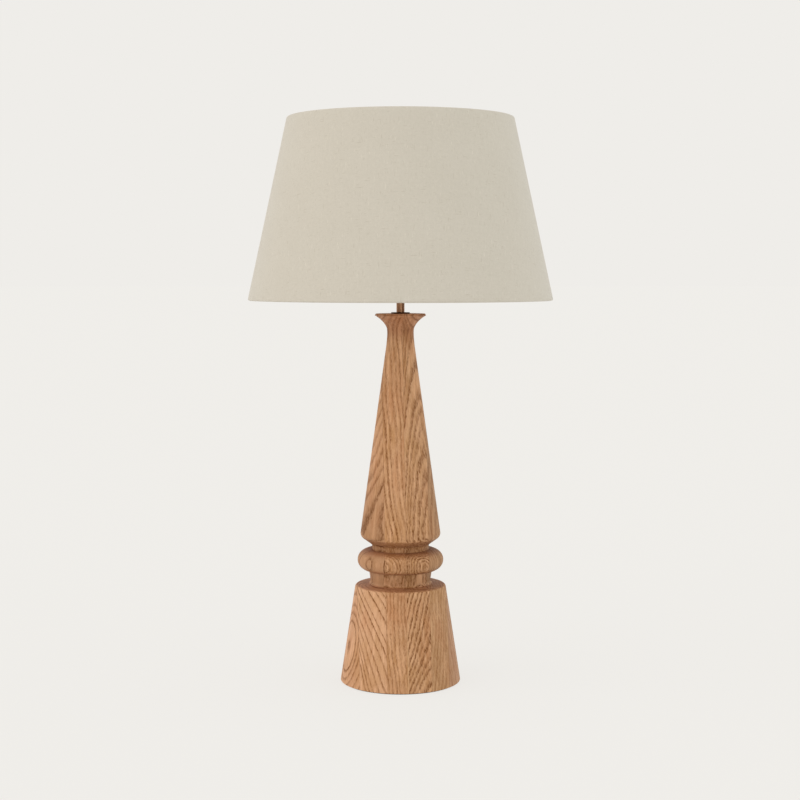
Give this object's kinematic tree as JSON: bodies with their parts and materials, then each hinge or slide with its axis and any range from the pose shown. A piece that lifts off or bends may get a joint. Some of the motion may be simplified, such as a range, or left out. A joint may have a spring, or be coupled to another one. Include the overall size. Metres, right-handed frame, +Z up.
{
  "type": "table lamp",
  "caption": "Turned laminated-wood column table lamp with a flared cap, a bead between two necks, a short bronze stem and a large tapered linen drum shade.",
  "frame": {"origin": "on the floor under the column's axis, at the underside of the felt pad", "axes": "+Z up along the column's axis, -Y to the front, +Y to the cable inlet at the back"},
  "size_m": [0.4491, 0.4492, 0.8375],
  "materials": {
    "ash_wood": "clear matt oil on open-grained ash",
    "antique_bronze": "antique bronze finish, rubbed lighter on the high places",
    "linen": "natural linen, plain weave with slubs",
    "liner": "satin white lining sheet",
    "white_wire": "white powder coat on steel wire",
    "zinc_steel": "bright zinc plate",
    "brass": "bare brass",
    "black_plastic": "moulded black plastic",
    "ceramic": "unglazed white ceramic",
    "felt": "dark brown felt",
    "bulb_glass": "clear blown glass",
    "bulb_metal": "bright nickel-plated cap",
    "filament": "phosphor-coated filament rods",
    "vitrite": "black glass insulator"
  },
  "bodies": {
    "base": {"column_board_1": "ash_wood", "column_board_2": "ash_wood", "column_board_3": "ash_wood", "column_board_4": "ash_wood", "column_board_5": "ash_wood", "column_board_6": "ash_wood", "felt_pad": "felt", "bottom_washer": "zinc_steel", "lock_washer": "zinc_steel", "bottom_nut": "zinc_steel", "threaded_rod": "zinc_steel", "cable_inlet_bush": "black_plastic", "collar_plate": "antique_bronze", "spacer_tube": "antique_bronze", "holder_dome": "antique_bronze", "dome_grub_screw": "zinc_steel", "earth_screw": "brass", "terminal_block": "ceramic", "terminal_screws": "brass", "switch_contacts": "brass", "centre_contact": "brass", "side_contact": "brass", "screw_shell": "bulb_metal", "insulating_sleeve": "black_plastic", "holder_skirt": "antique_bronze"},
    "switch": {"switch_bar": "black_plastic", "switch_bridge": "brass"},
    "lower_ring": {"lower_shade_ring": "antique_bronze"},
    "upper_ring": {"upper_shade_ring": "antique_bronze"},
    "shade": {"shade_fabric": "linen", "shade_liner": "liner", "top_wire_ring": "white_wire", "bottom_wire_ring": "white_wire", "spider_arms": "white_wire", "fitter_ring": "white_wire"},
    "bulb": {"bulb_glass": "bulb_glass", "bulb_cap": "bulb_metal", "bulb_cap_insulator": "vitrite", "bulb_contact": "bulb_metal", "bulb_stem": "bulb_glass", "bulb_filaments": "filament", "bulb_leads": "bulb_metal"}
  },
  "joints": [
    {"name": "switch_push", "type": "slide", "parent": "base", "child": "switch", "axis": [1, 0, 0], "range_m": [0, 0.005]},
    {"name": "lower_ring_turn", "type": "hinge", "parent": "base", "child": "lower_ring", "pos_m": [0, 0, 0.6095], "axis": [0, 0, 1], "continuous": true},
    {"name": "upper_ring_turn", "type": "hinge", "parent": "base", "child": "upper_ring", "pos_m": [0, 0, 0.6165], "axis": [0, 0, 1], "continuous": true},
    {"name": "shade_turn", "type": "hinge", "parent": "base", "child": "shade", "pos_m": [0, 0, 0.613], "axis": [0, 0, 1], "continuous": true},
    {"name": "bulb_out", "type": "slide", "parent": "base", "child": "bulb", "axis": [0, 0, 1], "range_m": [0, 0.24]}
  ]
}
